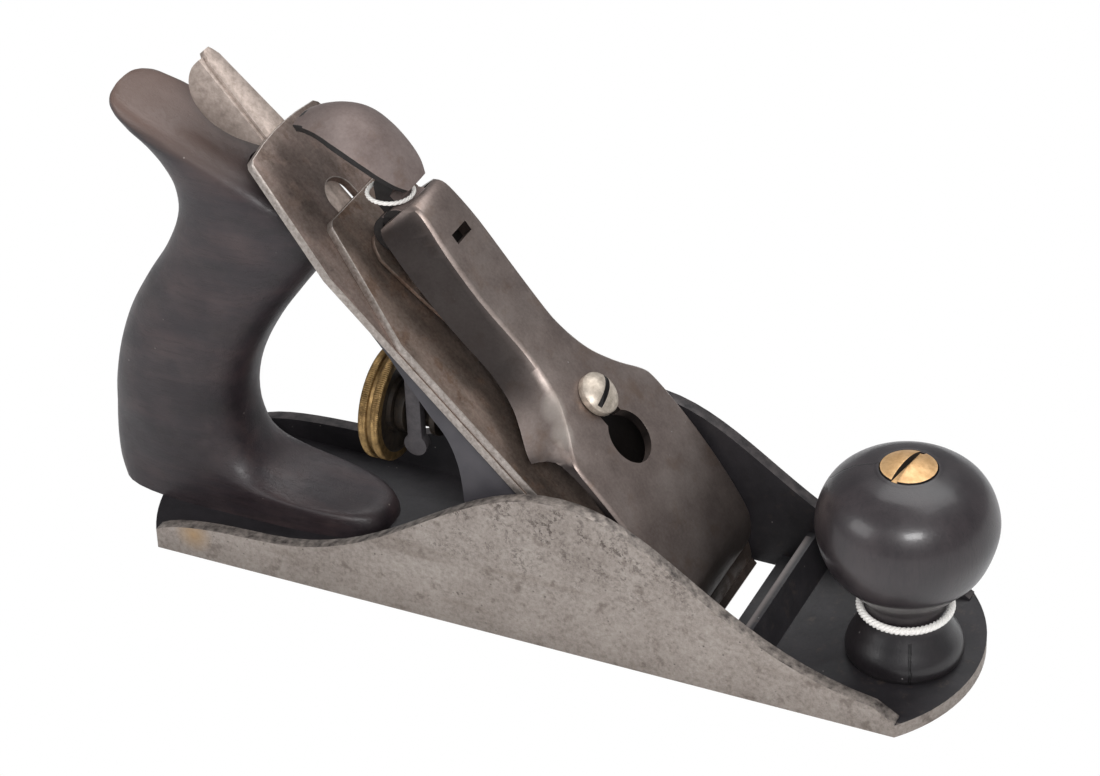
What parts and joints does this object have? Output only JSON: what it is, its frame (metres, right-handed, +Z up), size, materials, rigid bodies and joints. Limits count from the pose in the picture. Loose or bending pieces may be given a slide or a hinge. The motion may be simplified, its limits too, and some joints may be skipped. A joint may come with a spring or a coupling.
{
  "type": "bench plane",
  "caption": "Small metal smoothing plane: a cast body with a wooden tote and knob, a cutter bedded at 45 degrees under a lever cap, a screw for depth and a lever for tilt",
  "frame": {"origin": "centre of the sole, on its flat underside", "axes": "+X points forward to the toe and the knob, +Y to the plane's left, +Z up out of the sole"},
  "size_m": [0.2105, 0.0494, 0.1162],
  "materials": {
    "bare_iron": "bare grey cast iron with dark japanned inside faces, worn and lightly rusted",
    "frog_iron": "cast iron, japanned black behind, bare on the bed",
    "lever_cap_iron": "satin grey-brown worn casting",
    "tool_steel": "old tool steel with a brown patina and rust freckles",
    "lever_steel": "worn nickel-plated steel",
    "screw_steel": "turned steel, dull nickel",
    "brass": "old brass, satin",
    "tote_wood": "dark rosewood with a soft sheen",
    "knob_wood": "nearly black stained hardwood with fine cracks",
    "cord": "white twisted string"
  },
  "bodies": {
    "plane_body": {"body_casting": "bare_iron", "frog_screws": "screw_steel", "frog_washers": "screw_steel", "tote": "tote_wood", "tote_rod": "screw_steel", "tote_nut": "brass", "knob": "knob_wood", "knob_rod": "screw_steel", "knob_nut": "brass", "knob_string": "cord"},
    "frog_unit": {"frog": "frog_iron", "depth_screw": "screw_steel", "yoke_pin": "screw_steel", "lateral_pivot": "screw_steel"},
    "wheel_hub": {"depth_hub": "lever_steel"},
    "wheel": {"depth_wheel": "brass"},
    "yoke": {"yoke_lever": "lever_steel"},
    "cap_iron_unit": {"cap_iron": "tool_steel", "cap_iron_screw": "screw_steel"},
    "cutter": {"plane_iron": "tool_steel"},
    "lateral_unit": {"lateral_lever": "lever_steel", "lateral_roller": "screw_steel", "roller_rivet": "screw_steel"},
    "cap_screw": {"lever_cap_screw": "screw_steel"},
    "lever_cap_unit": {"lever_cap": "lever_cap_iron", "cam_pin": "screw_steel", "leaf_spring": "lever_steel", "spring_rivet": "screw_steel"},
    "cam_unit": {"cam_lever": "lever_cap_iron", "lever_string": "cord"}
  },
  "joints": [
    {"name": "frog_set", "type": "slide", "parent": "plane_body", "child": "frog_unit", "axis": [1, 0, 0], "range_m": [0, 0.0012]},
    {"name": "wheel_travel", "type": "slide", "parent": "frog_unit", "child": "wheel_hub", "axis": [-1, 0, 0], "range_m": [-0.00145, 0.00145]},
    {"name": "wheel_spin", "type": "hinge", "parent": "wheel_hub", "child": "wheel", "pos_m": [-0.0397, 0, 0.037], "axis": [1, 0, 0], "range_deg": [-411, 411]},
    {"name": "yoke_swing", "type": "hinge", "parent": "frog_unit", "child": "yoke", "pos_m": [-0.02264, 0, 0.04844], "axis": [0, 1, 0], "range_deg": [-4.9, 4.9]},
    {"name": "cutter_depth", "type": "slide", "parent": "frog_unit", "child": "cap_iron_unit", "axis": [0.7071, 0, -0.7071], "range_m": [-0.00085, 0.00085]},
    {"name": "cutter_skew", "type": "hinge", "parent": "cap_iron_unit", "child": "cutter", "pos_m": [0.01449, 0, 0.02121], "axis": [0.7071, 0, 0.7071], "range_deg": [-1.15, 1.15]},
    {"name": "lateral_swing", "type": "hinge", "parent": "frog_unit", "child": "lateral_unit", "pos_m": [-0.03996, 0, 0.07566], "axis": [0.7071, 0, 0.7071], "range_deg": [-9, 9]},
    {"name": "cap_screw_turn", "type": "hinge", "parent": "frog_unit", "child": "cap_screw", "pos_m": [-0.00284, 0, 0.03854], "axis": [0.7071, 0, 0.7071], "continuous": true},
    {"name": "lever_cap_slide", "type": "slide", "parent": "frog_unit", "child": "lever_cap_unit", "axis": [-0.7071, 0, 0.7071], "range_m": [0, 0.0115]},
    {"name": "cam_open", "type": "hinge", "parent": "lever_cap_unit", "child": "cam_unit", "pos_m": [-0.03247, 0, 0.08655], "axis": [0, 1, 0], "range_deg": [0, 30]}
  ],
  "couplings": [
    {"joint": "wheel_travel", "follows": "cutter_depth", "ratio": 1.7012},
    {"joint": "yoke_swing", "follows": "cutter_depth", "rad_per_m": 100},
    {"joint": "wheel_spin", "follows": "cutter_depth", "rad_per_m": 8418.6},
    {"joint": "cutter_skew", "follows": "lateral_swing", "ratio": -0.124}
  ]
}
